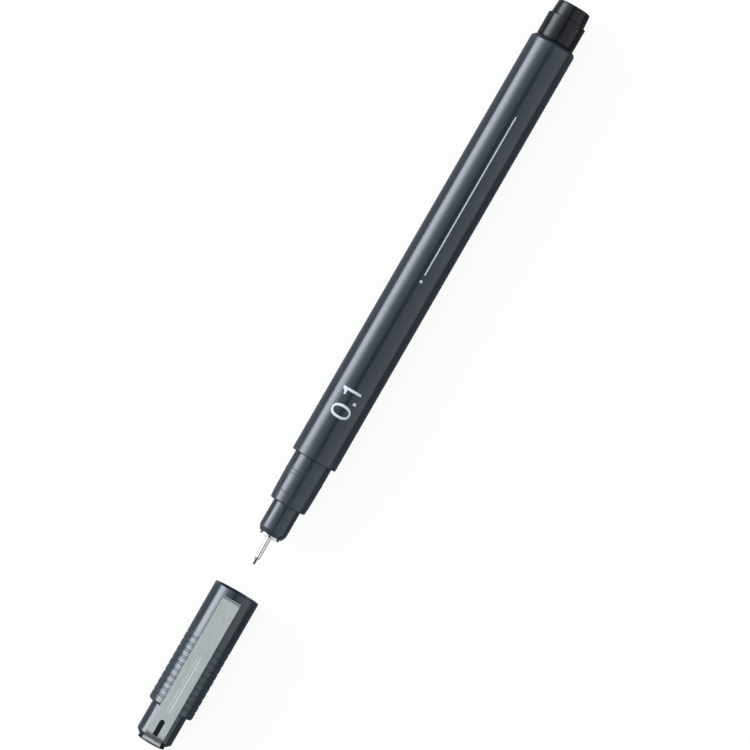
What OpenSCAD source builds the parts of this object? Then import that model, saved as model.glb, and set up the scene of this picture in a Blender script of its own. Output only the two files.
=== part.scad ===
// Fibre-tip technical pen lying on a surface along X, with its cap pulled off in front of the nib.
// The tail is at +X, the cap's clip faces +Z, and the pen's axis is barrel_d / 2 above the surface.

/* [Barrel] */
// Outside diameter of the barrel and of the cap
barrel_d = 9.6; // [8:0.1:12]
// Length of the barrel, without the tail plug
barrel_len = 94.15; // [75:0.05:120]
// Wall of the barrel
barrel_wall = 0.95; // [0.8:0.05:1.2]
// Radius of the barrel's front outer edge
barrel_front_round = 0.2; // [0.1:0.05:0.4]
// Length of the chamfer at the barrel's rear
barrel_rear_len = 0.35; // [0.2:0.05:0.6]
// Depth of the chamfer at the barrel's rear
barrel_rear_drop = 0.2; // [0.1:0.05:0.4]
// Number of ribs that hold the reservoir in the bore
rib_count = 6; // [3:1:8]
// Width of one rib
rib_w = 0.7; // [0.4:0.1:1]
// Height of one rib above the bore
rib_h = 0.35; // [0.2:0.05:0.5]

/* [Grip section] */
// Length of the grip in front of the barrel
grip_len = 10.4; // [8:0.1:16]
// Height of the step from the barrel down to the grip
grip_step = 0.78; // [0.7:0.02:0.85]
// How much the grip's radius shrinks towards its front edge
grip_taper = 0.27; // [0.1:0.01:0.4]
// Length of the steeper taper at the grip's front
grip_lead = 2.65; // [1.5:0.05:4]
// Radius of the grip's front outer edge
grip_round = 0.4; // [0.2:0.05:0.5]
// Distance from the barrel to the snap ring's near side
snap_at = 3.4; // [2:0.1:5]
// Width of the snap ring
snap_w = 0.8; // [0.5:0.1:1.2]
// Height of the snap ring
snap_h = 0.04; // [0.02:0.01:0.06]
// Length of the grip's spigot inside the barrel
spigot_len = 9; // [6:0.5:14]
// Wall of the spigot
spigot_wall = 0.9; // [0.7:0.05:1.2]
// Thickness of the web that the nib holder stops against
web_t = 1.5; // [1:0.1:2]

/* [Nib holder] */
// Length of the nose in front of the grip
nose_len = 6.6; // [5:0.1:9]
// Height of the step from the grip's front edge down to the nose
nose_step = 0.825; // [0.6:0.025:1]
// Length of the chamfer at the nose's front
nose_chamfer_len = 1; // [0.5:0.1:1.5]
// Depth of the chamfer at the nose's front
nose_chamfer = 0.47; // [0.2:0.01:0.6]
// Length of the nose's shank inside the grip
shank_len = 6.4; // [5:0.1:7]
// Length of the holder's rear tube, behind the shank
feed_tube_len = 11; // [6:0.5:14]
// Wall of the rear tube
feed_tube_wall = 0.67; // [0.4:0.01:0.9]

/* [Nib] */
// Height of the step from the nose down to the collar
collar_step = 0.8; // [0.5:0.05:1]
// Thickness of the collar in front of the nose
collar_t = 0.65; // [0.4:0.05:1]
// How far the collar's front face falls back at its rim
collar_cone = 0.15; // [0.05:0.05:0.3]
// Length of the collar's hub inside the nose
hub_len = 3; // [2:0.1:4]
// Wall of the collar's hub
hub_wall = 0.62; // [0.4:0.02:0.7]
// Outside diameter of the needle tube
tube_d = 1.1; // [0.8:0.02:1.32]
// Bore of the needle tube
tube_bore_d = 0.46; // [0.4:0.02:0.5]
// Length of the needle tube in front of the collar
tube_len = 4.9; // [3:0.1:7]
// Chamfer at the needle tube's front edge
tube_chamfer = 0.12; // [0.05:0.01:0.15]
// How far the needle tube reaches behind the collar's hub
tube_tail = 1.5; // [0.5:0.1:2.5]
// Length of the fibre point in front of the needle tube
nib_out = 1; // [0.5:0.1:1.5]
// Diameter of the fibre nib
nib_d = 0.42; // [0.3:0.02:0.46]
// Diameter of the wick
wick_d = 1.6; // [1:0.1:2]
// How far the wick reaches into the reservoir
wick_in = 4.7; // [3:0.1:8]

/* [Reservoir] */
// Thickness of the film round the reservoir
film_t = 0.12; // [0.08:0.02:0.2]

/* [Tail plug] */
// Length of the plug's spigot inside the barrel
plug_spigot = 6; // [4:0.5:8]
// Length of the plug's conical flange behind the barrel
plug_flange_len = 0.5; // [0.4:0.05:1]
// Width of the gap between the flange and the plug's first step
neck_len = 0.15; // [0.1:0.05:0.8]
// Depth of that gap below the plug's first step
neck_depth = 0.3; // [0.1:0.02:0.8]
// Height of the step from the barrel down to the plug's first step
plug_step = 0.76; // [0.5:0.02:0.9]
// Length of the plug's first step
plug_len = 4.85; // [3:0.05:7]
// Width of the groove between the plug's two steps
plug_groove_w = 0.25; // [0.2:0.05:0.5]
// Height of the drop from the first step to the second
plug_drop = 0.42; // [0.3:0.02:0.6]
// Length of the plug's second step
plug_end_len = 2.75; // [2:0.05:4]
// How much the second step's radius shrinks to its end
plug_end_taper = 0.2; // [0:0.05:0.4]
// Radius of the plug's edges
plug_round = 0.4; // [0.2:0.05:0.5]
// Wall of the plug's hollow
plug_wall = 1.2; // [0.8:0.1:1.4]

/* [Cap] */
// Distance between the nib's point and the cap's mouth with the cap off
cap_gap = 6.45; // [2:0.05:20]
// Clearance all round between the snap ring and the cap's bore
cap_clear = 0.105; // [0.1:0.005:0.12]
// Room in front of the point inside the closed cap
tip_room = 1.2; // [0.8:0.1:3]
// Thickness of the inner cap's floor
inner_floor = 0.7; // [0.5:0.1:1.2]
// Thickness of the cap between the inner cap and the shoulder
shoulder_web = 1.05; // [0.8:0.05:2]
// Radius of the cap's shoulder
shoulder_round = 0.65; // [0.3:0.05:0.7]
// Number of grooves round the cap
groove_count = 10; // [4:1:12]
// Distance from the shoulder to the first groove
groove_start = 1.82; // [1:0.02:2.5]
// Distance from groove to groove
groove_pitch = 1.458; // [1:0.01:1.8]
// Width of one groove
groove_w = 0.47; // [0.3:0.01:0.6]
// Depth of one groove
groove_depth = 0.1; // [0.05:0.01:0.2]
// Height of the step from the cap's body down to its crown
crown_step = 0.99; // [0.8:0.01:1.2]
// Length of the crown
crown_len = 6.83; // [5:0.01:9]
// Chamfer at the crown's end
crown_chamfer = 0.67; // [0.3:0.01:0.7]
// Wall of the crown round the button's stem
crown_wall = 1.41; // [1.2:0.01:1.6]

/* [Inner cap] */
// Running clearance all round between the nose and the inner cap
seal_clear = 0.05; // [0.02:0.01:0.08]
// Gap between the grip's front edge and the inner cap with the cap closed
seal_gap = 0.6; // [0.3:0.1:1.5]
// Wall of the inner cap
inner_wall = 0.75; // [0.5:0.05:0.9]
// Radius of the inner cap's narrow end round the needle
needle_room_r = 1.6; // [1.2:0.1:1.8]
// Length of the flange that holds the inner cap in the cap
flange_len = 4; // [2:0.1:6]

/* [Crown button] */
// Height of the step from the crown down to the button
button_step = 0.935; // [0.9:0.005:1.1]
// Thickness of the button's head
button_t = 0.77; // [0.7:0.01:1]
// Radius of the button's rim
button_round = 0.22; // [0.1:0.01:0.25]
// Length of the button's stem
stem_len = 5; // [3:0.1:6]

/* [Clip] */
// Width of the clip at its root
clip_w = 3.95; // [3:0.05:5]
// Width of the clip at its free end
clip_end_w = 3.8; // [3:0.05:5]
// Thickness of the clip's steel
clip_t = 0.35; // [0.3:0.01:0.4]
// Gap between the flat of the clip and the cap
clip_gap = 0.35; // [0.3:0.05:0.8]
// Gap between the clip's dimple and the cap
dimple_gap = 0.05; // [0.04:0.01:0.2]
// Distance from the cap's mouth to the clip's lip
clip_from_mouth = 1.4; // [1:0.1:6]
// Length of the slope at the clip's root
clip_slope = 1.2; // [1:0.05:1.6]
// Length of the short ledge behind the slope
clip_ledge = 0.55; // [0.3:0.05:0.8]
// Height of the ledge's underside above the crown
ledge_gap = 0.135; // [0.1:0.005:0.3]
// Length of the folded tab in the crown
tab_len = 2.1; // [1.5:0.1:2.4]
// Width of the slot through the clip
slot_w = 1.06; // [0.6:0.02:1.6]
// Length of the slot through the clip
slot_len = 3.24; // [2:0.02:5]
// Distance from the clip's slope to the slot
slot_from_slope = 0.1; // [0.05:0.01:1]
// Distance from the slope to the pressed channel
channel_from_slope = 4.4; // [4.2:0.1:6]
// Length of the pressed channel
channel_len = 13.5; // [6:0.5:16]
// Width of the pressed channel
channel_w = 0.65; // [0.4:0.05:1]
// Depth of the pressed channel
channel_depth = 0.12; // [0.05:0.01:0.15]

/* [Fits] */
// Clearance all round between pieces that are pressed together
press_clear = 0.03; // [0.02:0.005:0.05]
// Clearance all round between the fibre pieces and what holds them
fibre_clear = 0.02; // [0.01:0.005:0.03]
// Clearance of the clip's tab in its pocket, on the button's side
tab_clear = 0.05; // [0.03:0.01:0.1]
// Depth of the tab's pocket in the crown's end
tab_pocket = 0.2; // [0.15:0.01:0.3]
// Clearance between the clip's tab and the crown's end
tab_back = 0.1; // [0.05:0.01:0.15]
// Clearance of the tab's pocket at its sides and its bottom
tab_side = 0.1; // [0.05:0.01:0.2]

/* [Hidden] */
$fn = 64;
slate = [0.24, 0.28, 0.32];
slate_light = [0.33, 0.37, 0.42];
jet = [0.12, 0.12, 0.14];
steel = [0.75, 0.77, 0.77];
fibre = [0.2, 0.2, 0.22];
milk = [0.9, 0.9, 0.88];
foil = [0.8, 0.84, 0.9];
// How far a cut runs past the face that it opens
past = 0.01;
// Angle by which the turned pieces are rolled about the pen's axis, which sets where their seam lies
seam_roll = 90;

// Radii along the pen
barrel_r = barrel_d / 2;
bore_r = barrel_r - barrel_wall;
grip_r = barrel_r - grip_step;
grip_tip_r = grip_r - grip_taper;
spigot_r = bore_r - press_clear;
nose_r = grip_tip_r - nose_step;
collar_r = nose_r - collar_step;
tube_r = tube_d / 2;
hub_bore_r = tube_r + press_clear;
hub_r = hub_bore_r + hub_wall;
wick_r = wick_d / 2;
wick_bore_r = wick_r + fibre_clear;
feed_r = wick_bore_r + feed_tube_wall;
film_r = bore_r - rib_h - press_clear;
reservoir_r = film_r - film_t - fibre_clear;
plug_r = barrel_r - plug_step;
plug_neck_r = plug_r - neck_depth;
plug_flange_r = barrel_r - barrel_rear_drop - press_clear;
plug_end_r = plug_r - plug_drop;

// Radii of the cap
cap_bore_r = grip_r + snap_h + cap_clear;
crown_r = barrel_r - crown_step;
crown_bore_r = crown_r - crown_wall;
button_r = crown_r - button_step;
stem_r = crown_bore_r - press_clear;
inner_bore_r = nose_r + seal_clear;
inner_r = inner_bore_r + inner_wall;
flange_r = cap_bore_r - press_clear;

// Places along the pen, measured towards the tail from the barrel's front face
nose_front = -grip_len - nose_len;
collar_front = nose_front - collar_t;
tube_front = collar_front - tube_len;
point_x = tube_front - nib_out;
hub_end = nose_front + hub_len;
tube_end = hub_end + tube_tail;
shank_end = -grip_len + shank_len;
feed_end = shank_end + feed_tube_len;
reservoir_front = spigot_len + 0.3;
wick_end = reservoir_front + wick_in;
plug_front = barrel_len - plug_spigot;
reservoir_end = plug_front - 0.2;
plug_flange_end = barrel_len + plug_flange_len;
plug_step_x = plug_flange_end + neck_len;
plug_groove_x = plug_step_x + plug_len;
plug_end_x = plug_groove_x + plug_groove_w;
tail_x = plug_end_x + plug_end_len;

// Places along the cap, measured from its mouth towards its crown
inner_mouth = grip_len + seal_gap;
inner_step = grip_len + nose_len + seal_gap;
inner_taper_end = inner_step + inner_bore_r - needle_room_r;
inner_hollow_end = tip_room - point_x;
inner_end = inner_hollow_end + inner_floor;
shoulder_u = inner_end + shoulder_web;
crown_end = shoulder_u + crown_len;
crown_floor = shoulder_u + 0.6;
button_end = crown_end + button_t;

// Heights of the clip's middle line above the cap's axis, and its places along the cap
clip_h = barrel_r + clip_gap + clip_t / 2;
dimple_h = barrel_r + dimple_gap + clip_t / 2;
ledge_h = crown_r + ledge_gap + clip_t / 2;
tab_u = crown_end + tab_back + clip_t / 2;
slope_end = tab_u - clip_ledge;
slope_start = slope_end - clip_slope;
tab_bottom = ledge_h - tab_len;
pocket_end = tab_u + clip_t / 2 + tab_clear;

// Where the cap's mouth lies with the cap off, and the middle of the whole object
mouth_x = point_x - cap_gap;
middle_x = (tail_x + mouth_x - button_end) / 2;

// Four points along a quarter circle that starts at the angle start
function quarter(x, y, r, start) =
    [for (i = [0 : 3]) [x + r * cos(start + 30 * i), y + r * sin(start + 30 * i)]];

// Unit vector from a to b, and the sideways unit vector of that step
function along(a, b) = (b - a) / norm(b - a);
function side(v) = [-v[1], v[0]];

// Point beside corner i of a path, on the line that lies distance d to the path's left
function beside(path, i, d) =
    let (
        last = len(path) - 1,
        v_in = along(path[max(i - 1, 0)], path[max(i, 1)]),
        v_out = along(path[min(i, last - 1)], path[min(i + 1, last)]),
        turn = side(v_in) + side(v_out)
    )
    path[i] + turn * (2 * d / (turn * turn));

// Outline of a strip of thickness t that follows a path
function strip(path, t) = concat(
    [for (i = [0 : len(path) - 1]) beside(path, i, t / 2)],
    [for (i = [len(path) - 1 : -1 : 0]) beside(path, i, -t / 2)]);

// Turns an outline of [radius, place] points about the pen's axis
module turned(outline) {
    rotate([0, 90, 0]) rotate([0, 0, seam_roll]) rotate_extrude() polygon(outline);
}

// Puts a piece that is drawn from the barrel's front face where the pen lies
module on_pen() {
    translate([-middle_x, 0, barrel_r]) children();
}

// Puts a piece that is drawn upwards from the cap's mouth, with the clip at +X, where the cap lies
module on_cap() {
    translate([mouth_x - middle_x, 0, barrel_r]) rotate([0, -90, 0]) children();
}

module ring(r_out, r_in, from, to) {
    translate([0, 0, from]) difference() {
        cylinder(r = r_out, h = to - from);
        translate([0, 0, -past]) cylinder(r = r_in, h = to - from + 2 * past);
    }
}

module barrel() {
    color(slate) on_pen() {
        turned(concat(
            [[bore_r, 0]],
            quarter(barrel_r - barrel_front_round, barrel_front_round, barrel_front_round, -90),
            [
                [barrel_r, barrel_len - barrel_rear_len],
                [barrel_r - barrel_rear_drop, barrel_len],
                [bore_r, barrel_len]
            ]));
        // The ribs start behind the grip's spigot and stop before the plug's
        for (i = [0 : rib_count - 1]) {
            rotate([360 / rib_count * i, 0, 0])
                translate([spigot_len + 0.5, -rib_w / 2, bore_r - rib_h])
                cube([plug_front - spigot_len - 1, rib_w, rib_h + barrel_wall / 3]);
        }
    }
}

module grip_section() {
    lead_r = grip_r - grip_taper / 4;
    web_back = shank_end + web_t;
    color(slate) on_pen() turned(concat(
        [[nose_r + press_clear, shank_end], [nose_r + press_clear, -grip_len]],
        quarter(grip_tip_r - grip_round, grip_round - grip_len, grip_round, -90),
        [
            [lead_r, grip_lead - grip_len],
            [grip_r, -snap_at - snap_w],
            [grip_r + snap_h, -snap_at - snap_w * 0.75],
            [grip_r + snap_h, -snap_at - snap_w * 0.25],
            [grip_r, -snap_at],
            [grip_r, 0],
            [spigot_r, 0],
            [spigot_r, spigot_len],
            [spigot_r - spigot_wall, spigot_len],
            [spigot_r - spigot_wall, web_back],
            [feed_r + press_clear, web_back],
            [feed_r + press_clear, shank_end]
        ]));
}

module nib_holder() {
    color(slate_light) on_pen() turned([
        [hub_r + press_clear, nose_front],
        [nose_r - nose_chamfer, nose_front],
        [nose_r, nose_front + nose_chamfer_len],
        [nose_r, shank_end],
        [feed_r, shank_end],
        [feed_r, feed_end],
        [wick_bore_r, feed_end],
        [wick_bore_r, tube_end],
        [hub_bore_r, tube_end],
        [hub_bore_r, hub_end],
        [hub_r + press_clear, hub_end]
    ]);
}

module nib_collar() {
    color(steel) on_pen() turned([
        [hub_bore_r, collar_front],
        [tube_r + 2 * collar_cone, collar_front],
        [collar_r, collar_front + collar_cone],
        [collar_r, nose_front],
        [hub_r, nose_front],
        [hub_r, hub_end],
        [hub_bore_r, hub_end]
    ]);
}

module needle_tube() {
    color(steel) on_pen() turned([
        [tube_bore_d / 2, tube_front],
        [tube_r - tube_chamfer, tube_front],
        [tube_r, tube_front + tube_chamfer],
        [tube_r, tube_end],
        [tube_bore_d / 2, tube_end]
    ]);
}

module fibre_nib() {
    nib_r = nib_d / 2;
    color(fibre) on_pen() turned([
        [0, point_x],
        [nib_r * 0.5, point_x],
        [nib_r * 0.85, point_x + nib_r * 0.5],
        [nib_r, point_x + nib_out],
        [nib_r, tube_end],
        [0, tube_end]
    ]);
}

module relay_wick() {
    color(milk) on_pen() turned([
        [0, tube_end],
        [wick_r, tube_end],
        [wick_r, wick_end],
        [0, wick_end]
    ]);
}

module ink_reservoir() {
    color(fibre) on_pen() turned([
        [wick_bore_r, reservoir_front],
        [reservoir_r, reservoir_front],
        [reservoir_r, reservoir_end],
        [0, reservoir_end],
        [0, wick_end],
        [wick_bore_r, wick_end]
    ]);
}

module reservoir_film() {
    color(foil) on_pen() turned([
        [film_r - film_t, reservoir_front],
        [film_r, reservoir_front],
        [film_r, reservoir_end],
        [film_r - film_t, reservoir_end]
    ]);
}

module tail_plug() {
    tip_r = plug_end_r - plug_end_taper;
    hollow_r = spigot_r - plug_wall;
    color(jet) on_pen() turned(concat(
        [
            [0, plug_step_x],
            [hollow_r, plug_step_x],
            [hollow_r, plug_front],
            [spigot_r, plug_front],
            [spigot_r, barrel_len + press_clear],
            [plug_flange_r, barrel_len + press_clear],
            [plug_r - press_clear, plug_flange_end],
            [plug_neck_r, plug_flange_end],
            [plug_neck_r, plug_step_x]
        ],
        quarter(plug_r - plug_round / 2, plug_step_x + plug_round / 2, plug_round / 2, -90),
        quarter(plug_r - plug_round, plug_groove_x - plug_round, plug_round, 0),
        [
            [plug_end_r - plug_round, plug_groove_x],
            [plug_end_r - plug_round, plug_end_x],
            [plug_end_r, plug_end_x]
        ],
        quarter(tip_r - plug_round, tail_x - plug_round, plug_round, 0),
        [[0, tail_x]]));
}

// The space that the clip's tab needs in the crown and in the button
module tab_space() {
    translate([tab_bottom - tab_side, -clip_w / 2 - tab_side, crown_end - tab_pocket])
        cube([crown_r + barrel_r, clip_w + 2 * tab_side, pocket_end - crown_end + tab_pocket]);
}

module cap_shell() {
    shoulder_in = barrel_r - shoulder_round;
    color(slate) on_cap() difference() {
        rotate_extrude() polygon(concat(
            [
                [cap_bore_r, 0],
                [barrel_r, 0]
            ],
            quarter(shoulder_in, shoulder_u - shoulder_round, shoulder_round, 0),
            [
                [crown_r, shoulder_u],
                [crown_r, crown_end - crown_chamfer],
                [crown_r - crown_chamfer, crown_end],
                [crown_bore_r, crown_end],
                [crown_bore_r, crown_floor],
                [0, crown_floor],
                [0, inner_end],
                [cap_bore_r, inner_end]
            ]));
        for (i = [0 : groove_count - 1]) {
            middle = shoulder_u - groove_start - groove_pitch * i;
            ring(barrel_r + 1, barrel_r - groove_depth, middle - groove_w / 2, middle + groove_w / 2);
        }
        tab_space();
    }
}

module inner_cap() {
    color(milk) on_cap() rotate_extrude() polygon([
        [inner_bore_r, inner_mouth],
        [inner_r, inner_mouth],
        [inner_r, inner_end - flange_len],
        [flange_r, inner_end - flange_len],
        [flange_r, inner_end],
        [0, inner_end],
        [0, inner_hollow_end],
        [needle_room_r, inner_hollow_end],
        [needle_room_r, inner_taper_end],
        [inner_bore_r, inner_step]
    ]);
}

module crown_button() {
    color(jet) on_cap() difference() {
        rotate_extrude() polygon(concat(
            [
                [0, crown_end - stem_len],
                [stem_r, crown_end - stem_len],
                [stem_r, crown_end],
                [button_r, crown_end]
            ],
            quarter(button_r - button_round, button_end - button_round, button_round, 0),
            [[0, button_end]]));
        tab_space();
    }
}

// Outline of the clip seen from above: straight sides, narrower at the free end
module clip_plan() {
    rotate([0, 90, 0]) linear_extrude(barrel_d) polygon([
        [-pocket_end, clip_w / 2],
        [-slope_end, clip_w / 2],
        [-clip_from_mouth, clip_end_w / 2],
        [-clip_from_mouth, -clip_end_w / 2],
        [-slope_end, -clip_w / 2],
        [-pocket_end, -clip_w / 2]
    ]);
}

module clip_slot() {
    from = slope_start - slot_from_slope - slot_len;
    rotate([0, 90, 0]) translate([-from - slot_w / 2, 0, 0]) union() {
        cylinder(d = slot_w, h = barrel_d);
        translate([slot_w / 2 - slot_len, -slot_w / 2, 0]) cube([slot_len - slot_w / 2, slot_w, barrel_d]);
    }
}

module clip_channel() {
    from = slope_start - channel_from_slope;
    translate([clip_h + clip_t / 2 - channel_depth, 0, 0]) rotate([0, 90, 0]) linear_extrude(clip_t) polygon([
        [-from, 0],
        [channel_w - from, channel_w / 2],
        [channel_len - channel_w - from, channel_w / 2],
        [channel_len - from, 0],
        [channel_len - channel_w - from, -channel_w / 2],
        [channel_w - from, -channel_w / 2]
    ]);
}

module pocket_clip() {
    dimple_u = clip_from_mouth + 0.45;
    line = [
        [dimple_h + 0.15, clip_from_mouth],
        [dimple_h, dimple_u - 0.15],
        [dimple_h, dimple_u + 0.1],
        [clip_h, dimple_u + 0.8],
        [clip_h, slope_start],
        [ledge_h, slope_end],
        [ledge_h, tab_u],
        [tab_bottom, tab_u]
    ];
    color(steel) on_cap() difference() {
        intersection() {
            rotate([90, 0, 0]) linear_extrude(clip_w + clip_end_w, center = true) polygon(strip(line, clip_t));
            clip_plan();
        }
        clip_slot();
        clip_channel();
    }
}

barrel();
grip_section();
nib_holder();
nib_collar();
needle_tube();
fibre_nib();
relay_wick();
ink_reservoir();
reservoir_film();
tail_plug();
cap_shell();
inner_cap();
crown_button();
pocket_clip();
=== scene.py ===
# %% [markdown]
# # A technical pen with its cap taken off
#
# The pen is a thin slate-grey tube with a stepped front, a needle-like metal tip and a black plug
# in its tail. Its cap lies in line with it, in front of the tip, with a steel clip on top.
# The CAD model of the same pen is already packed. It fixes every size and every joint, and this
# script gives the pen its looks: finer surfaces, materials, light and a camera.
# The first cell brings the CAD model in. It must not be changed, so pieces that need a finer
# surface are built anew and stand in for the CAD ones.

import bmesh
import bpy
import numpy as np
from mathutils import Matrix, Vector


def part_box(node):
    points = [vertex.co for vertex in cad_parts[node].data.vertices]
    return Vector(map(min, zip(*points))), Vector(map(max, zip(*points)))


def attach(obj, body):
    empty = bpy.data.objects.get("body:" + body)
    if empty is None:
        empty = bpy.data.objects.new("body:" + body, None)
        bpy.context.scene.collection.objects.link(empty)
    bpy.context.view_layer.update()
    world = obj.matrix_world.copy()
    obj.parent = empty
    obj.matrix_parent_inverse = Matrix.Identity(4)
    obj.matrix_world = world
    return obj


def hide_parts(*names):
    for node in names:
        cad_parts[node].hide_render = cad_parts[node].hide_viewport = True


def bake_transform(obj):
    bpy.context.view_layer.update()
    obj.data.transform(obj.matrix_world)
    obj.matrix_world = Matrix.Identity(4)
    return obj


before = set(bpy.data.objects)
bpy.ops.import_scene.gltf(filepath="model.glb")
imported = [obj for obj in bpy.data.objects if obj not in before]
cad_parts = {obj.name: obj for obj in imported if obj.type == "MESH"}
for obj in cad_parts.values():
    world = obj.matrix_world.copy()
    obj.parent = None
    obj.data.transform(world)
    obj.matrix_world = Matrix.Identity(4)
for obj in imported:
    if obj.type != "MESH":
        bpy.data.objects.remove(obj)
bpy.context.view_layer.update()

print("CAD nodes:", sorted(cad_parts))

# %% [markdown]
# ## Units and the two starting points
#
# Blender's unit here is the metre, and pens are drawn in millimetres, so one factor turns one into
# the other. Two places are read from the CAD model and used throughout: the barrel's front face,
# from which the pen is measured towards its tail, and the cap's mouth, from which the cap is
# measured towards its closed end. The pen's axis lies half a barrel above the surface.

# %% Millimetres and the measuring points
MM = 0.001
barrel_low, barrel_high = [np.array(corner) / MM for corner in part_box("barrel")]
cap_low, cap_high = [np.array(corner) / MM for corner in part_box("cap_shell")]
AXIS_Z = (barrel_low[2] + barrel_high[2]) / 2
BARREL_R = (barrel_high[1] - barrel_low[1]) / 2
BARREL_X = barrel_low[0]
MOUTH_X = cap_high[0]
print(f"axis height {AXIS_Z:.3f}, barrel radius {BARREL_R:.3f}")
print(f"barrel's front face {BARREL_X:.3f}, cap's mouth {MOUTH_X:.3f}")

# %% [markdown]
# ## Camera
#
# The pen is seen straight from above through a long lens, and lies aslant in the picture, with its
# tip at the lower left. A long lens far away keeps the two ends of such a long thin thing nearly
# free of perspective, and a camera that looks straight down shows the round parts as plain bands.

# %% Camera straight above the pen
LENS = 200.0
SENSOR = 36.0
PICTURE_WIDTH = 147.36 * MM
PEN_TURN = 60.0
camera_data = bpy.data.cameras.new("camera")
camera_data.lens = LENS
camera_data.sensor_width = SENSOR
camera_height = PICTURE_WIDTH * LENS / SENSOR
camera = bpy.data.objects.new("camera", camera_data)
camera.location = (1.2 * MM, -2.08 * MM, AXIS_Z * MM + camera_height)
camera.rotation_euler = (0.0, 0.0, np.radians(-PEN_TURN))
camera_data.clip_start = 0.01
camera_data.clip_end = 20.0
bpy.context.scene.collection.objects.link(camera)
bpy.context.scene.camera = camera
bpy.context.scene.view_settings.view_transform = "Standard"
print(f"camera {camera_height:.3f} m above the axis")

# %% [markdown]
# ## A few helpers for node graphs
#
# Materials and the studio are node graphs. Three small helpers keep them short: one adds a node and
# fills its inputs, one links two sockets, and one starts a material with its shader and output.

# %% Node helpers
def add_node(tree, kind, **inputs):
    """Adds a node and sets the inputs that are given by name, with _ for a space in a name."""
    node = tree.nodes.new(kind)
    for name, value in inputs.items():
        node.inputs[name.replace("_", " ")].default_value = value
    return node


def maths(tree, operation, first, second=None):
    """Adds a Math node. Each operand is a number or another node's output."""
    node = tree.nodes.new("ShaderNodeMath")
    node.operation = operation
    for socket, operand in zip(node.inputs, (first, second)):
        if isinstance(operand, bpy.types.NodeSocket):
            tree.links.new(operand, socket)
        elif operand is not None:
            socket.default_value = operand
    return node.outputs[0]


def ramp(tree, factor, stops, interpolation="LINEAR"):
    """Adds a Color Ramp. stops is a list of places and grey levels or colours."""
    node = tree.nodes.new("ShaderNodeValToRGB")
    node.color_ramp.interpolation = interpolation
    elements = node.color_ramp.elements
    while len(elements) < len(stops):
        elements.new(0.5)
    for element, (place, level) in zip(elements, stops):
        element.position = place
        element.color = (*([level] * 3 if np.isscalar(level) else level), 1.0)
    tree.links.new(factor, node.inputs["Fac"])
    return node.outputs["Color"]


print("node helpers ready")

# %% [markdown]
# ## The studio
#
# Smooth plastic shows its surroundings: a tall soft box at the pen's left side gives the broad
# bright band, and the narrow dark gap between two overhead sheets, where the camera looks through,
# gives the thin dark line along the top. All of that is a matter of direction only, so it is put
# in the world: the angle round the pen's length picks a brightness, and how far the direction
# points along the pen says how much of it is left. The soft box only covers the middle, and the
# sheets fade towards the pen's two ends. What the camera itself sees behind the pen stays white.

# %% World as a soft studio
BOX = 11.6
TINT = (0.87, 0.926, 1.0)
# Angle in degrees from straight up, towards the left side, and brightness of the plain sheets
SHEETS = [
    (-180, 0.16), (-93, 0.16), (-90, 1.40), (-72, 1.52), (-58, 1.42), (-30, 1.13), (-16, 1.03),
    (-9, 0.38), (-5, 0.0), (3, 0.0), (8, 0.49), (14, 0.92), (90, 0.92), (92, 0.27), (180, 0.27),
]
# The same for the soft box, as a share of its full brightness
SOFT_BOX = [
    (-180, 0.0), (18, 0.0), (38, 0.06), (51, 0.33), (62, 0.79), (70, 1.0), (84, 0.80), (89, 0.42),
    (91, 0.0), (180, 0.0),
]
# How much of the soft box and of the sheets is left, by how far a direction points along X
BOX_REACH = [(-1.0, 0.0), (-0.5, 0.0), (-0.2, 1.0), (0.2, 1.0), (0.5, 0.0), (1.0, 0.0)]
SHEET_REACH = [(-1.0, 0.04), (-0.84, 0.04), (-0.66, 1.0), (0.62, 1.0), (0.78, 0.1), (1.0, 0.1)]
world = bpy.data.worlds.new("studio")
bpy.context.scene.world = world
world.use_nodes = True
sky = world.node_tree
sky.nodes.clear()
direction = add_node(sky, "ShaderNodeTexCoord")
parts = add_node(sky, "ShaderNodeSeparateXYZ")
sky.links.new(direction.outputs["Generated"], parts.inputs[0])
angle = maths(sky, "ARCTAN2", parts.outputs["Y"], parts.outputs["Z"])
turn_share = maths(sky, "ADD", maths(sky, "DIVIDE", angle, 2 * np.pi), 0.5)
sheets = ramp(sky, turn_share, [((turn + 180) / 360, level) for turn, level in SHEETS])
box = ramp(sky, turn_share, [((turn + 180) / 360, level) for turn, level in SOFT_BOX])
length_share = maths(sky, "ADD", maths(sky, "MULTIPLY", parts.outputs["X"], 0.5), 0.5)
box_reach = ramp(sky, length_share, [((x + 1) / 2, level) for x, level in BOX_REACH], "EASE")
sheet_reach = ramp(sky, length_share, [((x + 1) / 2, level) for x, level in SHEET_REACH], "EASE")
box_light = maths(sky, "MULTIPLY", maths(sky, "MULTIPLY", box, box_reach), BOX)
studio_light = maths(sky, "ADD", maths(sky, "MULTIPLY", sheets, sheet_reach), box_light)
rays = add_node(sky, "ShaderNodeLightPath")
studio = add_node(sky, "ShaderNodeBackground", Color=(*TINT, 1))
plain = add_node(sky, "ShaderNodeBackground", Color=(1, 1, 1, 1), Strength=1.0)
sky.links.new(studio_light, studio.inputs["Strength"])
pick = add_node(sky, "ShaderNodeMixShader")
sky.links.new(rays.outputs["Is Camera Ray"], pick.inputs["Fac"])
sky.links.new(studio.outputs[0], pick.inputs[1])
sky.links.new(plain.outputs[0], pick.inputs[2])
world_out = add_node(sky, "ShaderNodeOutputWorld")
sky.links.new(pick.outputs[0], world_out.inputs["Surface"])
print("studio: soft box", BOX)
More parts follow.
